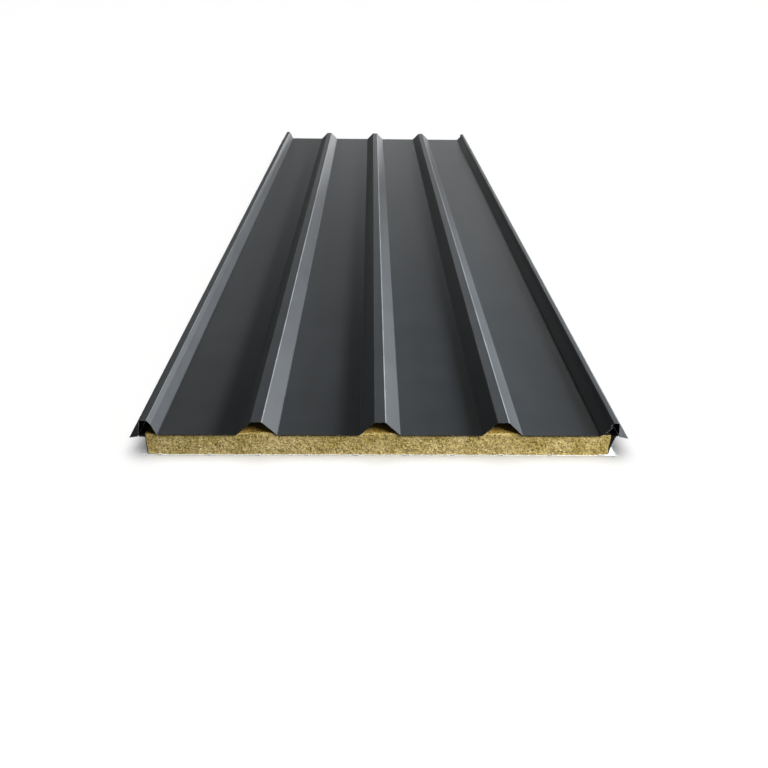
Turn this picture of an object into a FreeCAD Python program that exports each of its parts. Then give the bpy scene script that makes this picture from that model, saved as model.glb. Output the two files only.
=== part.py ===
import math
import os

import FreeCAD
import Part

# Insulated roof panel: a ribbed steel weather sheet, a mineral wool core and a flat steel liner.
# Millimetres. X runs across the panel, Y along it and Z up.
# The origin lies on the underside of the liner, below the middle rib, half way along.

# Overall sizes
panel_length = 3000.0
panel_depth = 50.0
sheet_thickness = 0.6
liner_thickness = 0.5
bend_radius = 3.0
side_bend_radius = 2.0
fold_radius = 1.2

# Inner ribs of the weather sheet; heights are above the flat pans between the ribs
rib_spacing = 249.0
rib_height = 30.0
rib_base_width = 82.0
rib_crest_width = 22.0

# Left side rib: the taller one, with a shoulder below its crest and a lip on its free edge
left_rib_height = 33.5
left_foot = 450.0
left_shoulder = 459.5
left_shoulder_height = 24.0
left_crest_inner = 466.5
left_crest_outer = 481.5
left_leg_foot = 488.5
left_leg_drop = 4.5
left_lip_edge = 506.0
left_lip_drop = 7.0

# Right side rib: a folded step in its inner slope stops water from creeping up
right_rib_height = 30.0
right_foot = 452.0
step_tip = 471.5
step_tip_height = 19.6
step_root = 465.0
step_root_height = 21.0
right_crest_inner = 472.8
right_crest_outer = 484.0
right_leg_foot = 487.5
right_leg_drop = 2.0
right_lip_edge = 506.5
right_lip_drop = 6.3

# Mineral wool core
core_left = -474.0
core_right = 471.5
core_setback = 3.0
ridge_gap = 1.3
ridge_height = 25.0
ridge_end_slope = 70.0
ridge_front_height = 2.0

# Liner: shallow stiffening grooves, a flat flange on the left and a raised tongue on the right
groove_spacing = 100.0
groove_count = 9
groove_width = 10.0
groove_floor_width = 6.5
groove_depth = 1.2
groove_bend_radius = 0.8
groove_clearance = 0.1
groove_side_clearance = 0.4
flange_edge = -495.0
tongue_start = 452.0
tongue_rise_width = 2.5
tongue_rise = 1.2
tongue_edge = 487.0
tongue_slot_width = 13.0
tongue_slot_height = 1.5

# Black foam seals: each closes the gap between a side rib and the core
seal_skin = 1.5
left_seal_bottom = 2.4
left_seal_edge = -487.3
left_seal_shelf_top = 2.4
left_seal_shelf_bottom = 7.6
right_seal_bottom = 3.0
right_seal_waist = 476.0
right_seal_waist_drop = 23.5
right_seal_bulge = 482.5
right_seal_bulge_drop = 3.8
right_seal_edge = 486.6
right_seal_edge_drop = 2.4
right_seal_top_drop = 0.8

half_length = panel_length / 2
pan_underside = panel_depth - sheet_thickness


def vector(x, z):
    return FreeCAD.Vector(x, 0, z)


def unit(start, end):
    across = end[0] - start[0]
    rise = end[1] - start[1]
    size = math.hypot(across, rise)
    return across / size, rise / size


def bent_strip(corners, thickness):
    """Cross-section of a bent strip: corners of its upper face from left to right, with their inner radii."""
    upper = []
    lower = []
    first = unit(corners[0], corners[1])
    upper_point = vector(*corners[0][:2])
    lower_point = vector(corners[0][0] + thickness * first[1], corners[0][1] - thickness * first[0])
    start_cap = Part.makeLine(lower_point, upper_point)
    for before, corner, after in zip(corners, corners[1:], corners[2:]):
        arriving = unit(before, corner)
        leaving = unit(corner, after)
        turn = arriving[0] * leaving[1] - arriving[1] * leaving[0]
        angle = math.atan2(abs(turn), arriving[0] * leaving[0] + arriving[1] * leaving[1])
        side = 1.0 if turn > 0 else -1.0
        inner_radius = corner[2]
        upper_radius = inner_radius if turn > 0 else inner_radius + thickness
        lower_radius = inner_radius + thickness if turn > 0 else inner_radius
        tangent = upper_radius * math.tan(angle / 2)
        bend_start = (corner[0] - arriving[0] * tangent, corner[1] - arriving[1] * tangent)
        bend_end = (corner[0] + leaving[0] * tangent, corner[1] + leaving[1] * tangent)
        centre = (bend_start[0] - side * upper_radius * arriving[1], bend_start[1] + side * upper_radius * arriving[0])
        middle = unit(centre, corner)
        arcs = []
        for radius, offset in ((upper_radius, 0.0), (lower_radius, thickness)):
            begin = vector(bend_start[0] + offset * arriving[1], bend_start[1] - offset * arriving[0])
            through = vector(centre[0] + radius * middle[0], centre[1] + radius * middle[1])
            finish = vector(bend_end[0] + offset * leaving[1], bend_end[1] - offset * leaving[0])
            arcs.append((begin, through, finish))
        upper.append(Part.makeLine(upper_point, arcs[0][0]))
        upper.append(Part.Arc(*arcs[0]).toShape())
        lower.append(Part.makeLine(lower_point, arcs[1][0]))
        lower.append(Part.Arc(*arcs[1]).toShape())
        upper_point = arcs[0][2]
        lower_point = arcs[1][2]
    last = unit(corners[-2], corners[-1])
    upper_end = vector(*corners[-1][:2])
    lower_end = vector(corners[-1][0] + thickness * last[1], corners[-1][1] - thickness * last[0])
    upper.append(Part.makeLine(upper_point, upper_end))
    lower.append(Part.makeLine(lower_point, lower_end))
    end_cap = Part.makeLine(upper_end, lower_end)
    return Part.Face(Part.Wire(upper + [end_cap] + lower[::-1] + [start_cap]))


def polygon(points):
    corners = [vector(x, z) for x, z in points]
    return Part.Face(Part.makePolygon(corners + corners[:1]))


def run_along(section, half):
    """Extrude a section along the panel, the same distance each way from the middle."""
    moved = section.copy()
    moved.translate(FreeCAD.Vector(0, -half, 0))
    return moved.extrude(FreeCAD.Vector(0, 2 * half, 0))


# Weather sheet, from the left lip to the right lip
sheet_points = [
    (-left_lip_edge, -left_lip_drop, 0),
    (-left_leg_foot, -left_leg_drop, fold_radius),
    (-left_crest_outer, left_rib_height, side_bend_radius),
    (-left_crest_inner, left_rib_height, side_bend_radius),
    (-left_shoulder, left_shoulder_height, side_bend_radius),
    (-left_foot, 0, side_bend_radius),
]
for axis in (-rib_spacing, 0, rib_spacing):
    sheet_points += [
        (axis - rib_base_width / 2, 0, bend_radius),
        (axis - rib_crest_width / 2, rib_height, bend_radius),
        (axis + rib_crest_width / 2, rib_height, bend_radius),
        (axis + rib_base_width / 2, 0, bend_radius),
    ]
sheet_points += [
    (right_foot, 0, side_bend_radius),
    (step_tip, step_tip_height, fold_radius),
    (step_root, step_root_height, fold_radius),
    (right_crest_inner, right_rib_height, side_bend_radius),
    (right_crest_outer, right_rib_height, side_bend_radius),
    (right_leg_foot, -right_leg_drop, fold_radius),
    (right_lip_edge, -right_lip_drop, 0),
]
sheet_corners = [(x, panel_depth + z, radius) for x, z, radius in sheet_points]
outer_sheet = run_along(bent_strip(sheet_corners, sheet_thickness), half_length)

# Liner, from the flat flange on the left to the raised tongue on the right
groove_axes = [groove_spacing * (step - groove_count / 2) for step in range(groove_count)]
liner_points = [(flange_edge, 0)]
for axis in groove_axes:
    liner_points += [
        (axis - groove_width / 2, 0),
        (axis - groove_floor_width / 2, groove_depth),
        (axis + groove_floor_width / 2, groove_depth),
        (axis + groove_width / 2, 0),
    ]
liner_points += [
    (tongue_start, 0),
    (tongue_start + tongue_rise_width, tongue_rise),
    (tongue_edge, tongue_rise),
]
liner_corners = [(x, liner_thickness + z, groove_bend_radius) for x, z in liner_points]
inner_liner = run_along(bent_strip(liner_corners, liner_thickness), half_length)

# Core: its underside follows the liner and its top carries one ridge inside each inner rib
core_points = [
    (core_left, liner_thickness + tongue_slot_height),
    (core_left + tongue_slot_width, liner_thickness + tongue_slot_height),
    (core_left + tongue_slot_width, liner_thickness),
]
groove_half = groove_width / 2 + groove_side_clearance
groove_floor_half = groove_floor_width / 2 + groove_side_clearance
groove_top = liner_thickness + groove_depth + groove_clearance
for axis in groove_axes:
    core_points += [
        (axis - groove_half, liner_thickness),
        (axis - groove_floor_half, groove_top),
        (axis + groove_floor_half, groove_top),
        (axis + groove_half, liner_thickness),
    ]
tongue_top = liner_thickness + tongue_rise + groove_clearance
core_points += [
    (tongue_start - groove_side_clearance, liner_thickness),
    (tongue_start + tongue_rise_width - groove_side_clearance, tongue_top),
    (core_right, tongue_top),
    (core_right, pan_underside),
]
rib_slope = (rib_base_width - rib_crest_width) / 2 / rib_height
ridge_base_half = rib_base_width / 2 - ridge_gap
ridge_top_half = ridge_base_half - (ridge_height + sheet_thickness) * rib_slope
for axis in (rib_spacing, 0, -rib_spacing):
    core_points += [
        (axis + ridge_base_half, pan_underside),
        (axis + ridge_top_half, panel_depth + ridge_height),
        (axis - ridge_top_half, panel_depth + ridge_height),
        (axis - ridge_base_half, pan_underside),
    ]
core_points.append((core_left, pan_underside))
core_half = half_length - core_setback
core = run_along(polygon(core_points), core_half)

# The ends of the ridges lean back from the end face of the core
ridge_front = panel_depth + ridge_front_height
ridge_top = panel_depth + ridge_height
for end in (-1, 1):
    lean = [
        (end * core_half, ridge_front),
        (end * (core_half - ridge_end_slope), ridge_top),
        (end * (core_half - ridge_end_slope), ridge_top + ridge_height),
        (end * half_length, ridge_top + ridge_height),
        (end * half_length, ridge_front),
    ]
    corners = [FreeCAD.Vector(-half_length, y, z) for y, z in lean]
    wedge = Part.Face(Part.makePolygon(corners + corners[:1]))
    core = core.cut(wedge.extrude(FreeCAD.Vector(panel_length, 0, 0)))
mineral_wool_core = core.Solids[0]

# Left seal: a skin on the side of the core, with a shelf that reaches to the leg of the side rib
left_skin = core_left - seal_skin
shelf_top = panel_depth - left_seal_shelf_top
shelf_bottom = panel_depth - left_seal_shelf_bottom
edge_seal_left = run_along(polygon([
    (core_left, left_seal_bottom),
    (core_left, pan_underside),
    (left_skin, pan_underside),
    (left_skin, shelf_top),
    (left_seal_edge, shelf_top),
    (left_seal_edge, shelf_bottom),
    (left_skin, shelf_bottom),
    (left_skin, left_seal_bottom),
]), core_half)

# Right seal: a wedge that widens from the liner up to the foot of the side rib
edge_seal_right = run_along(polygon([
    (core_right, right_seal_bottom),
    (core_right + seal_skin, right_seal_bottom),
    (right_seal_waist, panel_depth - right_seal_waist_drop),
    (right_seal_bulge, panel_depth - right_seal_bulge_drop),
    (right_seal_edge, panel_depth - right_seal_edge_drop),
    (right_seal_edge, panel_depth - right_seal_top_drop),
    (core_right, panel_depth - right_seal_top_drop),
]), core_half)

pieces = {
    "outer_sheet": outer_sheet,
    "mineral_wool_core": mineral_wool_core,
    "inner_liner": inner_liner,
    "edge_seal_left": edge_seal_left,
    "edge_seal_right": edge_seal_right,
}
os.makedirs("parts", exist_ok=True)
for name, shape in pieces.items():
    shape.exportStep("parts/" + name + ".step")
    box = shape.BoundBox
    print(name, "valid", shape.isValid(), "solids", len(shape.Solids), "volume", round(shape.Volume),
          "box", [round(v, 2) for v in (box.XMin, box.XMax, box.YMin, box.YMax, box.ZMin, box.ZMax)])
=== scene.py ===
# %% [markdown]
# # An insulated roof panel
# A sandwich roof panel is three layers glued together: a ribbed steel weather sheet, a block of mineral
# wool and a flat steel liner. The CAD model already holds the five real pieces in their real places.
# This lesson dresses them: the two sheets keep their CAD shapes and get painted-steel finishes, while the
# wool and the soft black seals are rebuilt as meshes with the relief that the real materials have.

# %% Load the CAD model
import math
import random

import bmesh
import bpy
from mathutils import Matrix, Vector, noise


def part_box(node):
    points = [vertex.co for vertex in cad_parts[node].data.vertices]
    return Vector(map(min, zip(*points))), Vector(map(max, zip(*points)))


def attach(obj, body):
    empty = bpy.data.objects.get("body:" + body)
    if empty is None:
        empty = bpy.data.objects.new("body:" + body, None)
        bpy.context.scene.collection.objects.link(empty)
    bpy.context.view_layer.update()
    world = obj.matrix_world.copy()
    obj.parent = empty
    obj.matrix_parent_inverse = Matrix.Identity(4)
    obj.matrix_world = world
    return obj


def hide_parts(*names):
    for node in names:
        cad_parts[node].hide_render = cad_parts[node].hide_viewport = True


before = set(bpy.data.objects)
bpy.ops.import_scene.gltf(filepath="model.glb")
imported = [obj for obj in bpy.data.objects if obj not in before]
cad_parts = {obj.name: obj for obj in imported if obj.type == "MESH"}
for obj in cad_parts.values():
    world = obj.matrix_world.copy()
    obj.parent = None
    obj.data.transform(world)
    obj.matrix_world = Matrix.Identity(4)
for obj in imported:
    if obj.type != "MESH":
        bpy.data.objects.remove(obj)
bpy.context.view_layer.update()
MM = 0.001
print("CAD nodes:", sorted(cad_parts))

# %% [markdown]
# ## Camera
# The photograph looks down along the panel from in front of one end. Its place was worked out once by
# fitting the straight rib lines, so the picture needs no shift: a position, three angles and a lens.
# A tracking constraint could aim the camera, but it leaves no room for the slight roll. So the angles are
# turned into the camera's own right, up and backward axes, which are the columns of its matrix.

# %% Camera
CAMERA_PLACE = Vector((-0.0204, -2.7864, 0.8801))
LOOK_DOWN = math.radians(28.944)
TURN_RIGHT = math.radians(1.193)
ROLL = math.radians(0.815)
LENS_MM = 35.36
SENSOR_MM = 36

forward = Vector((
    math.sin(TURN_RIGHT) * math.cos(LOOK_DOWN),
    math.cos(TURN_RIGHT) * math.cos(LOOK_DOWN),
    -math.sin(LOOK_DOWN),
))
level_right = Vector((math.cos(TURN_RIGHT), -math.sin(TURN_RIGHT), 0))
level_up = level_right.cross(forward)
right = math.cos(ROLL) * level_right + math.sin(ROLL) * level_up
up = right.cross(forward)
camera = bpy.data.objects.new("camera", bpy.data.cameras.new("camera"))
bpy.context.scene.collection.objects.link(camera)
camera.data.lens = LENS_MM
camera.data.sensor_width = SENSOR_MM
aim = Matrix((right, up, -forward)).transposed().to_4x4()
camera.matrix_world = Matrix.Translation(CAMERA_PLACE) @ aim
bpy.context.scene.camera = camera
print("camera looks along", [round(v, 3) for v in forward])

# %% [markdown]
# ## Node and colour helpers
# Every finish below is a small node tree. One function adds a node, gives it its settings and links its
# inputs, and another turns the hex colours that painters use into the linear colours that shaders need.

# %% Helpers


def linear(hex_colour):
    """An sRGB hex colour as linear red, green, blue and alpha."""
    values = []
    for start in (1, 3, 5):
        value = int(hex_colour[start:start + 2], 16) / 255
        values.append(value / 12.92 if value <= 0.04045 else ((value + 0.055) / 1.055) ** 2.4)
    return (*values, 1.0)


def add(tree, kind, inputs=None, stops=(), **settings):
    """Add a node, set its properties and colour stops, and link or set each input by name or number."""
    node = tree.nodes.new(kind)
    for name, value in settings.items():
        setattr(node, name, value)
    for name, value in (inputs or {}).items():
        if isinstance(value, bpy.types.NodeSocket):
            tree.links.new(value, node.inputs[name])
        else:
            node.inputs[name].default_value = value
    for number, (position, colour) in enumerate(stops):
        elements = node.color_ramp.elements
        stop = elements[number] if number < 2 else elements.new(position)
        stop.position = position
        stop.color = colour
    return node


def new_finish(name):
    """An empty material with its node tree, its shader and the place of each point in metres."""
    finish = bpy.data.materials.new(name)
    finish.use_nodes = True
    tree = finish.node_tree
    return finish, tree, tree.nodes["Principled BSDF"], add(tree, "ShaderNodeTexCoord").outputs["Object"]


def wear(piece, finish):
    """Give a piece one finish in place of what it came with."""
    piece.data.materials.clear()
    piece.data.materials.append(finish)


print("mid grey in linear light:", round(linear("#808080")[0], 3))

# %% [markdown]
# ## Anthracite coated steel
# The weather sheet is hot-dip galvanised steel, coil coated with satin polyester paint before it is rolled
# into ribs. The paint is nearly black, and at a low angle it mirrors the bright room. The back of the sheet
# has only a thin pale backing coat; inside the two side ribs it is painted near black, as painted shade of
# the hollow ribs. Separate meshes could hold the coats, but one tree can tell them apart by where a face
# points, so the CAD sheet stays as it is.

# %% Paint and backing coat
DUST_PATCH = 120 * MM
SIDE_RIB_FROM = 448 * MM

sheet_paint, tree, shader, place = new_finish("anthracite_coated_steel")
normal = add(tree, "ShaderNodeNewGeometry").outputs["True Normal"]
facing = add(tree, "ShaderNodeSeparateXYZ", {"Vector": normal})
position = add(tree, "ShaderNodeSeparateXYZ", {"Vector": place})
# Dust makes each coat a little lighter in soft patches.
dust = add(tree, "ShaderNodeTexNoise",
           {"Vector": place, "Scale": 1 / DUST_PATCH, "Detail": 4.0, "Roughness": 0.6})
paint = add(tree, "ShaderNodeValToRGB", {"Fac": dust.outputs["Fac"]},
            stops=((0.3, linear("#343536")), (0.7, linear("#3a3b3c"))))
backing_coat = add(tree, "ShaderNodeValToRGB", {"Fac": dust.outputs["Fac"]},
                   stops=((0.3, linear("#7f8284")), (0.7, linear("#94979a"))))
from_middle = add(tree, "ShaderNodeMath", {0: position.outputs["X"]}, operation="ABSOLUTE")
in_side_rib = add(tree, "ShaderNodeMath", {0: from_middle.outputs[0], 1: SIDE_RIB_FROM},
                  operation="GREATER_THAN")
# Inside the side ribs the back is painted near black: painted shade of the hollow ribs.
back_with_rib_shade = add(tree, "ShaderNodeMix",
           {"Factor": in_side_rib.outputs[0], 6: backing_coat.outputs["Color"], 7: linear("#0e0e0f")},
           data_type="RGBA")
print("weather sheet: black inside from", SIDE_RIB_FROM, "m outwards")

# %% [markdown]
# ## Painted highlight on the bends
# The bends along the crests get a painted highlight: their paint is drawn lighter where they catch the
# light. A painted mask would need an unwrapped sheet. A rounded bend runs through every tilt between the
# flat crest and the steep slope, so a band of tilts picks it out, and a least height keeps it to the
# crests.

# %% Painted highlight on the bends
# The normals of faces that tilt by 7 to 42 degrees rise by this much, give or take the spread.
BEND_RISE = 0.87
BEND_SPREAD = 0.122
CREST_FROM = 65 * MM
# A face whose normal points down by more than this is the back of the sheet.
BACK_BELOW = -0.02

# Faces on the rounded bends of the crests get a painted highlight: their paint is drawn lighter.
bend = add(tree, "ShaderNodeMath", {0: facing.outputs["Z"], 1: BEND_RISE, 2: BEND_SPREAD},
           operation="COMPARE")
on_crest = add(tree, "ShaderNodeMath", {0: position.outputs["Z"], 1: CREST_FROM}, operation="GREATER_THAN")
painted_highlight = add(tree, "ShaderNodeMath", {0: bend.outputs[0], 1: on_crest.outputs[0]}, operation="MULTIPLY")
painted_highlight_tone = add(tree, "ShaderNodeValToRGB", {"Fac": dust.outputs["Fac"]},
                  stops=((0.35, linear("#5a5b5c")), (0.65, linear("#767777"))))
paint_with_highlight = add(tree, "ShaderNodeMix",
                 {"Factor": painted_highlight.outputs[0], 6: paint.outputs["Color"], 7: painted_highlight_tone.outputs["Color"]},
                 data_type="RGBA")
underside = add(tree, "ShaderNodeMath", {0: facing.outputs["Z"], 1: BACK_BELOW}, operation="LESS_THAN")
two_coats = add(tree, "ShaderNodeMix",
                {"Factor": underside.outputs[0], 6: paint_with_highlight.outputs[2], 7: back_with_rib_shade.outputs[2]},
                data_type="RGBA")
print("weather sheet: bends rubbed from", CREST_FROM, "m up")

# %% [markdown]
# ## Sawn ends
# The panel is sawn to length. The saw smears the paint over the cut edge and leaves bright steel in spots a
# few millimetres long, more of them on the side ribs. The edge is only as thick as the sheet, so a colour
# on the faces that point along the panel is enough.

# %% Sawn ends
STEEL_SPOT = 5 * MM
MORE_STEEL_IN_SIDE_RIB = 0.14
END_FACING = 0.9

spots = add(tree, "ShaderNodeTexNoise", {"Vector": place, "Scale": 1 / STEEL_SPOT, "Detail": 2.0})
bare = add(tree, "ShaderNodeMath",
           {0: in_side_rib.outputs[0], 1: MORE_STEEL_IN_SIDE_RIB, 2: spots.outputs["Fac"]},
           operation="MULTIPLY_ADD")
cut_edge = add(tree, "ShaderNodeValToRGB", {"Fac": bare.outputs[0]},
               stops=((0.55, linear("#232425")), (0.66, linear("#c4c6c7"))))
end_size = add(tree, "ShaderNodeMath", {0: facing.outputs["Y"]}, operation="ABSOLUTE")
sawn_end = add(tree, "ShaderNodeMath", {0: end_size.outputs[0], 1: END_FACING}, operation="GREATER_THAN")
coats_and_ends = add(tree, "ShaderNodeMix",
                     {"Factor": sawn_end.outputs[0], 6: two_coats.outputs[2], 7: cut_edge.outputs["Color"]},
                     data_type="RGBA")
tree.links.new(coats_and_ends.outputs[2], shader.inputs["Base Color"])
tree.links.new(sawn_end.outputs[0], shader.inputs["Metallic"])
print("weather sheet: steel spots of", STEEL_SPOT, "m on the sawn ends")

# %% [markdown]
# ## Satin, orange peel and bulges
# Coil-coated polyester is satin. The rollers leave faint lines along the sheet, the paint dries with a fine
# orange peel, and thin pans are never quite flat. Real dents in the mesh would need a far finer sheet than
# the CAD one, and these are tenths of a millimetre deep, so roughness and bump draw them.

# %% Satin
MARK_SPACING = 3 * MM
MARK_LENGTH = 800 * MM
SAWN_ROUGHNESS = 0.6

lengthwise = (1 / MARK_SPACING, 1 / MARK_LENGTH, 1 / MARK_SPACING)
along = add(tree, "ShaderNodeMapping", {"Vector": place, "Scale": lengthwise})
roller_marks = add(tree, "ShaderNodeTexNoise",
                   {"Vector": along.outputs["Vector"], "Scale": 1.0, "Detail": 2.0})
marks_and_dust = add(tree, "ShaderNodeMath", {0: roller_marks.outputs["Fac"], 1: dust.outputs["Fac"]},
                     operation="ADD")
satin = add(tree, "ShaderNodeMapRange", {"Value": marks_and_dust.outputs[0], "From Min": 0.6,
                                        "From Max": 1.4, "To Min": 0.285, "To Max": 0.325})
satin_or_sawn = add(tree, "ShaderNodeMix",
                    {"Factor": sawn_end.outputs[0], 2: satin.outputs["Result"], 3: SAWN_ROUGHNESS})
tree.links.new(satin_or_sawn.outputs[0], shader.inputs["Roughness"])
print("weather sheet: roller marks", MARK_SPACING, "m apart")

# %% Orange peel and bulges
# Orange peel is about 0.4 mm across, too fine for the picture, so it is drawn coarser.
PEEL = 2.5 * MM
BULGE_WIDTH = 200 * MM
BULGE_LENGTH = 450 * MM

peel = add(tree, "ShaderNodeTexNoise", {"Vector": place, "Scale": 1 / PEEL, "Detail": 2.0})
peel_bump = add(tree, "ShaderNodeBump",
                {"Height": peel.outputs["Fac"], "Strength": 0.08, "Distance": 0.4 * MM})
long_patch = add(tree, "ShaderNodeMapping",
                 {"Vector": place, "Scale": (1 / BULGE_WIDTH, 1 / BULGE_LENGTH, 1 / BULGE_WIDTH)})
bulges = add(tree, "ShaderNodeTexNoise",
             {"Vector": long_patch.outputs["Vector"], "Scale": 1.0, "Detail": 0.0})
bulge_bump = add(tree, "ShaderNodeBump", {"Height": bulges.outputs["Fac"], "Strength": 0.4,
                                         "Distance": 1.2 * MM, "Normal": peel_bump.outputs["Normal"]})
tree.links.new(bulge_bump.outputs["Normal"], shader.inputs["Normal"])
wear(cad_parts["outer_sheet"], sheet_paint)
print("weather sheet:", len(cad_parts["outer_sheet"].data.polygons), "faces")

# %% [markdown]
# ## White coated steel
# The liner faces the room below. It is the same coil-coated steel in a bright off-white polyester, with the
# same fine orange peel and with bare steel on its sawn ends. Its CAD shape is right, so it only gets a
# finish. A copy of the dark one would carry its painted highlight on the bends and its painted shade inside
# the side ribs along, so it has its own.

# %% Liner finish
LINER_DUST_PATCH = 150 * MM

liner_paint, tree, shader, place = new_finish("white_coated_steel")
normal = add(tree, "ShaderNodeNewGeometry").outputs["True Normal"]
facing = add(tree, "ShaderNodeSeparateXYZ", {"Vector": normal})
dust = add(tree, "ShaderNodeTexNoise", {"Vector": place, "Scale": 1 / LINER_DUST_PATCH, "Detail": 3.0})
white = add(tree, "ShaderNodeValToRGB", {"Fac": dust.outputs["Fac"]},
            stops=((0.3, linear("#dfe2e2")), (0.7, linear("#e9ebea"))))
end_size = add(tree, "ShaderNodeMath", {0: facing.outputs["Y"]}, operation="ABSOLUTE")
sawn_end = add(tree, "ShaderNodeMath", {0: end_size.outputs[0], 1: END_FACING}, operation="GREATER_THAN")
coat_and_ends = add(tree, "ShaderNodeMix",
                    {"Factor": sawn_end.outputs[0], 6: white.outputs["Color"], 7: linear("#c3c5c5")},
                    data_type="RGBA")
tree.links.new(coat_and_ends.outputs[2], shader.inputs["Base Color"])
satin = add(tree, "ShaderNodeMapRange", {"Value": dust.outputs["Fac"], "To Min": 0.33, "To Max": 0.42})
tree.links.new(satin.outputs["Result"], shader.inputs["Roughness"])
peel = add(tree, "ShaderNodeTexNoise", {"Vector": place, "Scale": 1 / PEEL, "Detail": 2.0})
peel_bump = add(tree, "ShaderNodeBump",
                {"Height": peel.outputs["Fac"], "Strength": 0.08, "Distance": 0.4 * MM})
tree.links.new(peel_bump.outputs["Normal"], shader.inputs["Normal"])
wear(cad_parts["inner_liner"], liner_paint)
print("liner:", len(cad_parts["inner_liner"].data.polygons), "faces")

# %% [markdown]
# ## Bonded mineral wool
# The core is stone wool: golden-brown mineral fibres sprayed with resin and pressed into slabs, then sawn.
# A sawn face is a felt of short strands that cross at all angles, with patches where the resin is browner.
# Its colour is partly the fibres' own tone and partly painted light: the highest strands are painted pale,
# and the hollows between them are painted dark as painted shade. One noise would look like sand, so
# three noises, each drawn out along a direction of its own, lie over each other and the highest shows.

# %% Felt of crossing strands
# Single fibres are a hundredth of a millimetre thick, so the strands are drawn as bundles. For each layer:
# its turn in degrees and the width of its bundles in millimetres.
STRAND_LAYERS = ((20, 1.5), (75, 1.2), (138, 1.7))
DRAWN_OUT = (1.0, 1.0, 0.38)

wool_finish, tree, shader, place = new_finish("bonded_mineral_wool")
crossing = 0.0
for turn, width in STRAND_LAYERS:
    turned = add(tree, "ShaderNodeMapping", {"Vector": place, "Rotation": (0, math.radians(turn), 0)})
    stretched = add(tree, "ShaderNodeMapping", {"Vector": turned.outputs["Vector"], "Scale": DRAWN_OUT})
    bundles = add(tree, "ShaderNodeTexNoise", {"Vector": stretched.outputs["Vector"],
                                              "Scale": 1 / (width * MM), "Detail": 2.0, "Distortion": 0.2})
    crossing = add(tree, "ShaderNodeMath", {0: crossing, 1: bundles.outputs["Fac"]},
                   operation="MAXIMUM").outputs[0]
# The highest strands are painted pale and the lowest dark: partly the fibres' own tone, partly painted
# light and shade.
felt = add(tree, "ShaderNodeValToRGB", {"Fac": crossing},
           stops=((0.44, linear("#74643a")), (0.53, linear("#a5915d")), (0.62, linear("#c0ac78")),
                  (0.72, linear("#dccfa0"))))
wool_bump = add(tree, "ShaderNodeBump", {"Height": crossing, "Strength": 0.55, "Distance": 1.5 * MM})
tree.links.new(wool_bump.outputs["Normal"], shader.inputs["Normal"])
shader.inputs["Roughness"].default_value = 0.95
shader.inputs["Specular IOR Level"].default_value = 0.15
print("wool:", len(STRAND_LAYERS), "layers of strands")

# %% Painted shade in the hollows and on the tops, and resin
HOLLOW = 4 * MM
RESIN_PATCH = 40 * MM

# Small dark spots are painted shade of the hollows between strands.
hollows = add(tree, "ShaderNodeTexNoise", {"Vector": place, "Scale": 1 / HOLLOW, "Detail": 2.0})
painted_hollow_shade = add(tree, "ShaderNodeValToRGB", {"Fac": hollows.outputs["Fac"]},
                  stops=((0.30, linear("#877748")), (0.42, linear("#ffffff"))))
# The resin changes slowly from olive to ochre.
resin = add(tree, "ShaderNodeTexNoise", {"Vector": place, "Scale": 1 / RESIN_PATCH, "Detail": 3.0})
resin_tone = add(tree, "ShaderNodeValToRGB", {"Fac": resin.outputs["Fac"]},
                 stops=((0.3, linear("#d2cfae")), (0.7, linear("#ffffff"))))
# Glue holds the top to the sheet. Faces that point up, also the slanted fronts of the ridges, are painted
# darker brown: painted shade, where the ribs above shade the wool.
normal = add(tree, "ShaderNodeNewGeometry").outputs["True Normal"]
facing = add(tree, "ShaderNodeSeparateXYZ", {"Vector": normal})
painted_top_shade = add(tree, "ShaderNodeValToRGB", {"Fac": facing.outputs["Z"]},
                stops=((0.5, linear("#ffffff")), (0.92, linear("#9b8c62"))))
wool_colour = felt.outputs["Color"]
for tone in (painted_hollow_shade, resin_tone, painted_top_shade):
    wool_colour = add(tree, "ShaderNodeMix", {"Factor": 1.0, 6: wool_colour, 7: tone.outputs["Color"]},
                      data_type="RGBA", blend_type="MULTIPLY").outputs[2]
print("wool: hollows of", HOLLOW, "m, resin patches of", RESIN_PATCH, "m")

# %% Painted shade under the right side rib
# Under the right side rib, the top of the wool is painted near black: painted shade inside the hollow rib.
TOP_FACING = 0.9

position = add(tree, "ShaderNodeSeparateXYZ", {"Vector": place})
under_rib = add(tree, "ShaderNodeMath", {0: position.outputs["X"], 1: SIDE_RIB_FROM},
                operation="GREATER_THAN")
on_top = add(tree, "ShaderNodeMath", {0: facing.outputs["Z"], 1: TOP_FACING}, operation="GREATER_THAN")
painted_shade_under_rib = add(tree, "ShaderNodeMath", {0: under_rib.outputs[0], 1: on_top.outputs[0]}, operation="MULTIPLY")
wool_with_shade_under_rib = add(tree, "ShaderNodeMix", {"Factor": painted_shade_under_rib.outputs[0], 6: wool_colour, 7: linear("#141311")},
             data_type="RGBA")
tree.links.new(wool_with_shade_under_rib.outputs[2], shader.inputs["Base Color"])
print("wool: paste from", SIDE_RIB_FROM, "m to the right")

# %% [markdown]
# ## The wool block
# From the CAD solid the block takes its section: a flat slab with a ridge inside each rib and shallow
# hollows over the grooves and the tongue of the liner. The ends were sawn, so they are rough, and they are
# all that shows of it. A displaced CAD solid would need millions of faces over 3 m. Instead each end is a
# fine grid of columns and rows, pushed in and out by noise, and long plain strips join the rims.

# %% Wool section
RIB_AXES = (-249 * MM, 0.0, 249 * MM)
RIDGE_BASE_HALF = 39.7 * MM
RIDGE_TOP_HALF = 14.1 * MM
SHEET_UNDERSIDE = 49.4 * MM
LINER_TOP = 0.5 * MM
GROOVE_AXES = [-0.45 + 0.1 * number for number in range(9)]
GROOVE_BASE_HALF = 5.4 * MM
GROOVE_TOP_HALF = 3.65 * MM
GROOVE_RISE = 1.8 * MM
SLOT_RISE = 2.0 * MM
SLOT_END = -461.0 * MM
SLOT_FOOT = -460.9 * MM
TONGUE_FOOT = 451.6 * MM
TONGUE_TOP = 454.1 * MM

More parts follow.
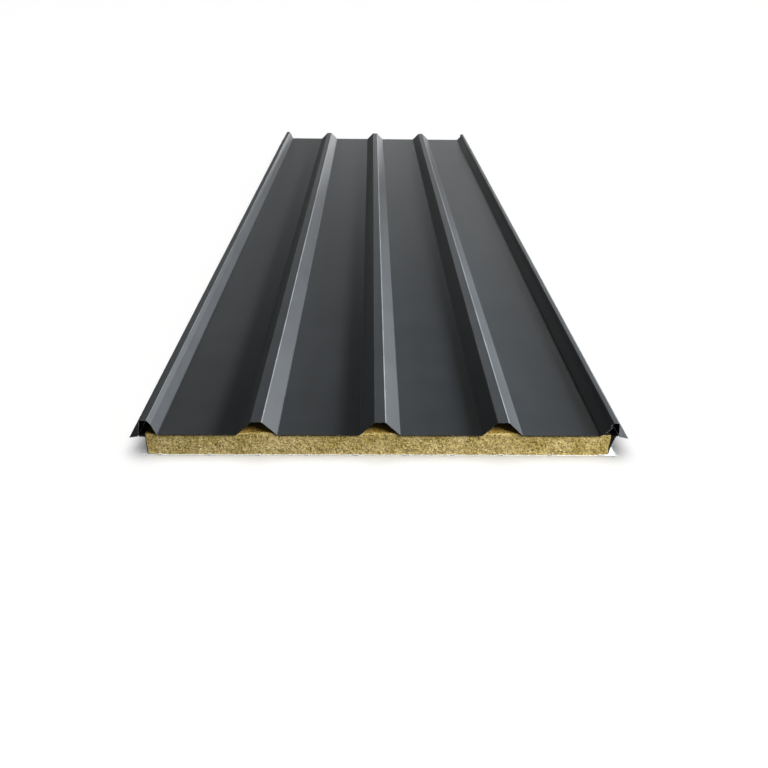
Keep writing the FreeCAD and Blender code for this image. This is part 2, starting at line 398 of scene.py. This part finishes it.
wool_low, wool_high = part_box("mineral_wool_core")
wool_top = [(wool_low.x, SHEET_UNDERSIDE)]
for axis in RIB_AXES:
    wool_top += [(axis - RIDGE_BASE_HALF, SHEET_UNDERSIDE), (axis - RIDGE_TOP_HALF, wool_high.z),
                 (axis + RIDGE_TOP_HALF, wool_high.z), (axis + RIDGE_BASE_HALF, SHEET_UNDERSIDE)]
wool_top.append((wool_high.x, SHEET_UNDERSIDE))
wool_bottom = [(wool_low.x, SLOT_RISE), (SLOT_END, SLOT_RISE), (SLOT_FOOT, LINER_TOP)]
for axis in GROOVE_AXES:
    wool_bottom += [(axis - GROOVE_BASE_HALF, LINER_TOP), (axis - GROOVE_TOP_HALF, GROOVE_RISE),
                    (axis + GROOVE_TOP_HALF, GROOVE_RISE), (axis + GROOVE_BASE_HALF, LINER_TOP)]
wool_bottom += [(TONGUE_FOOT, LINER_TOP), (TONGUE_TOP, GROOVE_RISE), (wool_high.x, GROOVE_RISE)]
print("wool section:", len(wool_top), "points on top,", len(wool_bottom), "below")

# %% Columns of the wool ends
COLUMN_STEP = 1.8 * MM
ROW_COUNT = 30


def height_at(profile, x):
    """Height of a profile of straight pieces at one place across the panel."""
    for (x0, z0), (x1, z1) in zip(profile, profile[1:]):
        if x <= x1:
            return z0 + (z1 - z0) * max(0.0, x - x0) / (x1 - x0)
    return profile[-1][1]


marks = sorted({round(x, 6) for x, z in wool_top + wool_bottom})
columns = []
for start, stop in zip(marks, marks[1:]):
    steps = max(1, round((stop - start) / COLUMN_STEP))
    columns += [start + (stop - start) * step / steps for step in range(steps)]
columns.append(marks[-1])
print("wool ends:", len(columns), "columns,", ROW_COUNT, "rows")

# %% Sawn wool faces
RIDGE_FRONT = 52.0 * MM
RIDGE_LEAN = 70.0 / 23.0
CLUMP = 11 * MM
CLUMP_DEPTH = 0.9 * MM
TUFT = 3.4 * MM
TUFT_DEPTH = 0.7 * MM
SAWN_BACK = 0.4 * MM


def sawn_face(end, x, z):
    """How far along the panel the sawn end lies at one point: ridges lean back, and the felt is rough."""
    lean = RIDGE_LEAN * max(0.0, z - RIDGE_FRONT)
    clumps = noise.fractal(Vector((x / CLUMP, z / CLUMP, 5.0 * end)), 1.0, 2.0, 3)
    tufts = noise.noise(Vector((x / TUFT, z / TUFT, 9.0 * end)))
    return end * (wool_high.y - lean - SAWN_BACK + CLUMP_DEPTH * clumps + TUFT_DEPTH * tufts)


def block_end(mesh, end):
    """A grid of points over one end of the block: a list of columns, each from the bottom to the top."""
    grid = []
    for x in columns:
        low = height_at(wool_bottom, x)
        high = height_at(wool_top, x)
        heights = [low + (high - low) * row / ROW_COUNT for row in range(ROW_COUNT + 1)]
        grid.append([mesh.verts.new((x, sawn_face(end, x, z), z)) for z in heights])
    for first, second in zip(grid, grid[1:]):
        for row in range(ROW_COUNT):
            mesh.faces.new((first[row], second[row], second[row + 1], first[row + 1]))
    return grid


print("near sawn face at mid height, m:", round(sawn_face(-1, 0.0, SHEET_UNDERSIDE / 2), 4))

# %% Wool block
SHARP_ANGLE = math.radians(50)


def new_piece(name, mesh, slot, *replaced):
    """Turn a finished bmesh into an object that rides on the panel."""
    data = bpy.data.meshes.new(name)
    bmesh.ops.recalc_face_normals(mesh, faces=mesh.faces)
    for face in mesh.faces:
        face.smooth = True
    mesh.to_mesh(data)
    mesh.free()
    data.set_sharp_from_angle(angle=SHARP_ANGLE)
    piece = bpy.data.objects.new(name, data)
    bpy.context.scene.collection.objects.link(piece)
    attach(piece, "root")
    if replaced:
        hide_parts(*replaced)
    print(name, len(data.polygons), "faces")
    return piece


mesh = bmesh.new()
near = block_end(mesh, -1)
far = block_end(mesh, 1)
for left in range(len(columns) - 1):
    for row in (0, ROW_COUNT):
        mesh.faces.new((near[left][row], near[left + 1][row], far[left + 1][row], far[left][row]))
for row in range(ROW_COUNT):
    for column in (0, -1):
        mesh.faces.new((near[column][row], near[column][row + 1], far[column][row + 1], far[column][row]))
wool = new_piece("wool_block", mesh, "mineral_wool", "mineral_wool_core")
wear(wool, wool_finish)

# %% [markdown]
# ## Loose strands
# A saw frees some strands from the felt, and they lie curled on the cut face. Particle hair would need a
# system that the exported model can't keep, so each strand is a thin bent prism with three sides. It lies
# on the rough face, at any angle, and its middle lifts off by up to a millimetre or so.

# %% One loose strand
EDGE_ROOM = 1.5 * MM
STRAND_CLEARANCE = 0.1 * MM
STRAND_REACH = 2.5 * MM
SIDES = 3
strand_dice = random.Random(11)


def strand(mesh, end):
    """One curled strand on a sawn end, or nothing where it would reach past the wool."""
    x = strand_dice.uniform(wool_low.x, wool_high.x)
    z = strand_dice.uniform(wool_low.z, wool_high.z)
    turn = strand_dice.uniform(0, math.pi)
    half = strand_dice.uniform(1.5, 4.5) * MM
    curl = strand_dice.uniform(-0.8, 0.8) * MM
    lift = strand_dice.uniform(0.3, 1.2) * MM
    thick = strand_dice.uniform(0.16, 0.34) * MM
    middles = []
    for place_along, bow in ((-1.0, 0.0), (0.0, 1.0), (1.0, 0.0)):
        px = x + math.cos(turn) * half * place_along - math.sin(turn) * curl * bow
        pz = z + math.sin(turn) * half * place_along + math.cos(turn) * curl * bow
        if not wool_low.x + EDGE_ROOM < px < wool_high.x - EDGE_ROOM:
            return
        if not height_at(wool_bottom, px) + EDGE_ROOM < pz < height_at(wool_top, px) - EDGE_ROOM:
            return
        reach = abs(sawn_face(end, px, pz)) + lift * bow + STRAND_CLEARANCE
        middles.append((px, end * min(reach, wool_high.y + STRAND_REACH), pz))
    loops = []
    for (px, py, pz), size in zip(middles, (0.5, 1.0, 0.5)):
        loop = []
        for corner in range(SIDES):
            angle = 2 * math.pi * corner / SIDES
            side = thick * size * math.cos(angle)
            out = thick * size * math.sin(angle)
            loop.append(mesh.verts.new((px - math.sin(turn) * side, py + out, pz + math.cos(turn) * side)))
        loops.append(loop)
    for first, second in zip(loops, loops[1:]):
        for corner in range(SIDES):
            after = (corner + 1) % SIDES
            mesh.faces.new((first[corner], first[after], second[after], second[corner]))
    mesh.faces.new(loops[0])
    mesh.faces.new(loops[-1])


print("strands keep", EDGE_ROOM, "m inside the edges of the wool")

# %% Loose strands
STRAND_COUNT = 2600
mesh = bmesh.new()
for end in (-1, 1):
    for _ in range(STRAND_COUNT):
        strand(mesh, end)
strands = new_piece("loose_wool_strands", mesh, "mineral_wool")
wear(strands, wool_finish)

# %% [markdown]
# ## Black foam seals
# Soft black foam closes the gap between each side rib and the core, so that no damp air gets into the wool.
# The left one is a skin on the core with a shelf under the rib, the right one a wedge. A plain extrusion
# would look like plastic: foam wavers a little along its length. So each section is repeated every 25 mm,
# its free corners pushed by noise, and a bevel rounds its edges.

# %% Foam finish
# Cells are about half a millimetre across and are drawn coarser, so that they show.
FOAM_CELL = 1.5 * MM

foam_finish, tree, shader, place = new_finish("black_cellular_foam")
cells = add(tree, "ShaderNodeTexVoronoi", {"Vector": place, "Scale": 1 / FOAM_CELL})
black = add(tree, "ShaderNodeValToRGB", {"Fac": cells.outputs["Distance"]},
            stops=((0.1, linear("#0d0d0e")), (0.7, linear("#1c1c1d"))))
tree.links.new(black.outputs["Color"], shader.inputs["Base Color"])
shader.inputs["Roughness"].default_value = 0.8
shader.inputs["Specular IOR Level"].default_value = 0.2
cell_bump = add(tree, "ShaderNodeBump",
                {"Height": cells.outputs["Distance"], "Strength": 0.6, "Distance": 0.8 * MM})
tree.links.new(cell_bump.outputs["Normal"], shader.inputs["Normal"])
print("foam: cells of", FOAM_CELL, "m")

# %% Seal sections
# Corners of the two sections in millimetres across and up; the first and last lie on the core.
SEAL_SECTIONS = {
    "edge_seal_left": ((-474.0, 49.4), (-475.5, 49.4), (-475.5, 47.6), (-487.3, 47.6), (-487.3, 42.4),
                       (-475.5, 42.4), (-475.5, 2.4), (-474.0, 2.4)),
    "edge_seal_right": ((471.5, 49.2), (486.6, 49.2), (486.6, 47.6), (482.5, 46.2), (476.0, 26.5),
                        (473.0, 3.0), (471.5, 3.0)),
}
WAVER = 0.25 * MM
WAVER_LENGTH = 60 * MM


def seal_ring(mesh, section, y):
    """The corners of a seal's section at one place along the panel, the free ones pushed in a little."""
    ring = []
    for number, (x, z) in enumerate(section):
        free = 0 < number < len(section) - 1
        waver = WAVER * noise.noise(Vector((number * 3.1, y / WAVER_LENGTH, x))) if free else 0.0
        ring.append(mesh.verts.new((x * MM - math.copysign(abs(waver), x), y, z * MM)))
    return ring


print("seals:", {name: len(section) for name, section in SEAL_SECTIONS.items()}, "corners")

# %% Foam seals
SEAL_STEP = 25 * MM
EDGE_ROUNDING = 0.35 * MM
ROUNDED_ABOVE = math.radians(30)

for name, section in SEAL_SECTIONS.items():
    seal_low, seal_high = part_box(name)
    length = seal_high.y - seal_low.y
    steps = round(length / SEAL_STEP)
    mesh = bmesh.new()
    rings = [seal_ring(mesh, section, seal_low.y + length * step / steps) for step in range(steps + 1)]
    for first, second in zip(rings, rings[1:]):
        for number in range(len(section)):
            after = (number + 1) % len(section)
            mesh.faces.new((first[number], first[after], second[after], second[number]))
    mesh.faces.new(rings[0])
    mesh.faces.new(rings[-1])
    seal = new_piece(name.replace("edge", "foam"), mesh, "black_foam", name)
    rounding = seal.modifiers.new("rounded", "BEVEL")
    rounding.width = EDGE_ROUNDING
    rounding.segments = 2
    rounding.limit_method = "ANGLE"
    rounding.angle_limit = ROUNDED_ABOVE
    wear(seal, foam_finish)

# %% [markdown]
# ## Floor
# The panel lies on a plain pale floor. A floor that every lamp lights would turn blotchy, and the dark
# paint would mirror the blotches. So only the camera sees this floor, and light linking gives it one wide
# lamp of its own from overhead, which leaves a soft shadow around the panel in every view.

# %% Floor
FLOOR_HALF = 60.0
FLOOR_HEIGHT = -0.2 * MM


def stage_piece(name, mesh, finish):
    """Turn a finished bmesh into a part of the stage that only the camera sees."""
    data = bpy.data.meshes.new(name)
    mesh.to_mesh(data)
    mesh.free()
    piece = bpy.data.objects.new(name, data)
    bpy.context.scene.collection.objects.link(piece)
    wear(piece, finish)
    piece.visible_diffuse = False
    piece.visible_glossy = False
    return piece


floor_finish, _, shader, _ = new_finish("pale_studio_floor")
shader.inputs["Base Color"].default_value = linear("#f4f4f3")
shader.inputs["Roughness"].default_value = 0.9
shader.inputs["Specular IOR Level"].default_value = 0.1
mesh = bmesh.new()
bmesh.ops.create_grid(mesh, x_segments=8, y_segments=8, size=FLOOR_HALF)
floor = stage_piece("studio_floor", mesh, floor_finish)
floor.location.z = FLOOR_HEIGHT
print("floor:", 2 * FLOOR_HALF, "m wide")

# %% [markdown]
# ## Backdrop
# A camera near the floor sees past the floor's end. A curved paper sweep would shade the lamps, so the
# backdrop is a wide dome that glows as pale as the floor, that only the camera sees and that throws no
# shadow. Its glow is left out of the light sampling, because it lights nothing.

# %% Backdrop
DOME_RADIUS = 55.0

backdrop_finish, _, shader, _ = new_finish("pale_studio_backdrop")
shader.inputs["Base Color"].default_value = linear("#000000")
shader.inputs["Specular IOR Level"].default_value = 0.0
shader.inputs["Emission Color"].default_value = linear("#ffffff")
shader.inputs["Emission Strength"].default_value = 1.0
backdrop_finish.cycles.emission_sampling = "NONE"
mesh = bmesh.new()
bmesh.ops.create_uvsphere(mesh, u_segments=48, v_segments=24, radius=DOME_RADIUS)
backdrop = stage_piece("studio_backdrop", mesh, backdrop_finish)
backdrop.visible_shadow = False
print("backdrop:", 2 * DOME_RADIUS, "m wide")

# %% [markdown]
# ## Walls of the room
# Satin paint shows what stands around it. The flat pans mirror the far wall, from near the floor to half
# way up, and the slopes of the ribs mirror its foot. An image of a room would do, but a dark room with a
# few soft windows needs no file: each window is brightest in its middle and fades evenly to its edges.
# The sides of the room and the wall behind the camera have no windows, only an even soft light.

# %% Walls
# For each window: how far right and how high its middle is, as parts of a direction of length 1, its half
# width, its half height and its brightness.
WINDOWS = (
    (-0.34, 0.00, 0.23, 0.14, 0.40),
    (0.00, 0.00, 0.14, 0.14, 4.49),
    (0.14, 0.00, 0.14, 0.14, 4.02),
    (0.44, 0.00, 0.16, 0.14, 0.52),
    (0.60, 0.00, 0.18, 0.14, 1.10),
    (0.60, 0.14, 0.18, 0.12, 4.00),
    (-0.28, 0.24, 0.28, 0.10, 0.24),
    (0.00, 0.24, 0.28, 0.10, 0.51),
    (0.28, 0.24, 0.30, 0.10, 0.67),
    (-0.28, 0.34, 0.28, 0.12, 0.61),
    (0.00, 0.65, 0.28, 0.21, 0.18),
)

world = bpy.data.worlds.new("studio_walls")
world.use_nodes = True
tree = world.node_tree
looking = add(tree, "ShaderNodeTexCoord").outputs["Generated"]
direction = add(tree, "ShaderNodeSeparateXYZ", {"Vector": looking})
windows = 0.0
for right_place, height, half_width, half_height, brightness in WINDOWS:
    fades = []
    for axis, middle, half in (("X", right_place, half_width), ("Z", height, half_height)):
        offset = add(tree, "ShaderNodeMath", {0: direction.outputs[axis], 1: middle}, operation="SUBTRACT")
        distance = add(tree, "ShaderNodeMath", {0: offset.outputs[0]}, operation="ABSOLUTE")
        fades.append(add(tree, "ShaderNodeMapRange", {"Value": distance.outputs[0], "From Max": half,
                                                     "To Min": 1.0, "To Max": 0.0}).outputs["Result"])
    window = add(tree, "ShaderNodeMath", {0: fades[0], 1: fades[1]}, operation="MULTIPLY")
    windows = add(tree, "ShaderNodeMath", {0: window.outputs[0], 1: brightness, 2: windows},
                  operation="MULTIPLY_ADD").outputs[0]
print("walls:", len(WINDOWS), "soft windows")

# %% Even light behind and at the sides
EVEN_LIGHT = 0.2
EVEN_UP_TO = 0.2
EVEN_GONE_AT = 0.6
COOL_LIGHT = linear("#fafdff")

ahead = add(tree, "ShaderNodeMath", {0: direction.outputs["Y"], 1: 0.0}, operation="GREATER_THAN")
even = add(tree, "ShaderNodeMapRange", {"Value": direction.outputs["Y"], "From Min": EVEN_UP_TO,
                                       "From Max": EVEN_GONE_AT, "To Min": EVEN_LIGHT, "To Max": 0.0})
room = add(tree, "ShaderNodeMath", {0: windows, 1: ahead.outputs[0], 2: even.outputs["Result"]},
           operation="MULTIPLY_ADD")
tree.nodes["Background"].inputs["Color"].default_value = COOL_LIGHT
tree.links.new(room.outputs[0], tree.nodes["Background"].inputs["Strength"])
bpy.context.scene.world = world
print("walls: even light of", EVEN_LIGHT)

# %% [markdown]
# ## Lamps
# Two low suns from the right leave a shadow along the left foot of each rib. Strips beside the panel
# brighten its right slopes, a long bar high beside them draws a thin bright line on each bend, and two weak
# lamps before the near end show the left rib and the sawn steel. The wool has a softbox at each end, high
# enough that the ribs shade the wool inside them. One set of lamps for everything would bleach the wool
# before the paint looks right, so light linking keeps each lamp off what it isn't meant for.

# %% Lamp helpers
# The pans would mirror these as white patches when they are seen from the left.
NOT_MIRRORED = ("low_key", "low_fill", "near_strip", "low_strip", "far_strip")


def lit_by(name, state, *pieces):
    """A collection that tells a lamp which pieces it lights, or which it leaves out."""
    collection = bpy.data.collections.new(name)
    for piece in pieces:
        collection.objects.link(piece)
    for entry in collection.collection_objects:
        entry.light_linking.link_state = state
    return collection


def lamp(name, kind, place, target, receivers, **settings):
    """A lamp at a place, turned to a target, that lights only what its collection says."""
    data = bpy.data.lights.new(name, kind)
    for setting, value in settings.items():
        setattr(data, setting, value)
    holder = bpy.data.objects.new(name, data)
    holder.location = place
    holder.rotation_euler = (Vector(target) - Vector(place)).to_track_quat("-Z", "Y").to_euler()
    holder.light_linking.receiver_collection = receivers
    holder.visible_camera = False
    holder.visible_glossy = name not in NOT_MIRRORED
    bpy.context.scene.collection.objects.link(holder)
    print("lamp", name, settings["energy"])


floor_and_liner = lit_by("floor_and_liner", "INCLUDE", floor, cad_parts["inner_liner"])
wool_only = lit_by("wool_only", "INCLUDE", wool, strands)
all_but_these = lit_by("all_but_floor_and_wool", "EXCLUDE", floor, wool, strands)
print("lamps kept out of reflections:", len(NOT_MIRRORED))

# %% Lamps on the steel and the foam
SUN_ANGLE = math.radians(8)
COOL_STRIP = linear("#e8f5ff")[:3]

lamp("low_key", "SUN", (4.45, 2.0, 1.5), (0, 0, 0), all_but_these, energy=3.80, angle=SUN_ANGLE)
lamp("low_fill", "SUN", (4.45, 0.2, 0.9), (0, 0, 0), all_but_these, energy=1.80, angle=SUN_ANGLE)
lamp("near_strip", "AREA", (2.1, -1.2, 0.98), (0, -1.2, 0.05), all_but_these, energy=75,
     shape="RECTANGLE", size=1.2, size_y=0.35, color=COOL_STRIP)
lamp("low_strip", "AREA", (2.1, -1.2, 0.42), (0, -1.2, 0.05), all_but_these, energy=95,
     shape="RECTANGLE", size=1.2, size_y=0.15, color=COOL_STRIP)
lamp("far_strip", "AREA", (2.1, 1.6, 1.2), (0, 1.6, 0.05), all_but_these, energy=15,
     shape="RECTANGLE", size=1.6, size_y=0.8)
lamp("bend_bar", "AREA", (3.2, 13.5, 3.2), (0, 13.5, 0), all_but_these, energy=95,
     shape="RECTANGLE", size=21.0, size_y=0.3)
lamp("left_fill", "AREA", (-1.8, -2.8, 1.1), (0.1, -1.4, 0.05), all_but_these, energy=9,
     shape="RECTANGLE", size=0.8, size_y=0.8)
lamp("edge_light", "AREA", (1.0, -4.5, 0.3), (0, -1.5, 0.05), all_but_these, energy=35,
     shape="RECTANGLE", size=1.0, size_y=0.3)

# %% Lamps on the wool and the floor
WOOL_LIGHT = 166
WIDE_SKY = math.radians(70)

for name, y, end in (("wool_softbox", -2.5, -1.5), ("far_wool_softbox", 2.5, 1.5)):
    lamp(name, "AREA", (1.5, y, 1.8), (0, end, 0.03), wool_only, energy=WOOL_LIGHT,
         shape="RECTANGLE", size=1.0, size_y=1.0)
lamp("overhead", "SUN", (0, 0, 5), (0, 0, 0), floor_and_liner, energy=3.05, angle=WIDE_SKY)

# %% [markdown]
# ## Finish
# Blender's default view greys a white floor like film does. The standard view shows each colour as it was
# chosen.

# %% Finish
bpy.context.scene.view_settings.view_transform = "Standard"
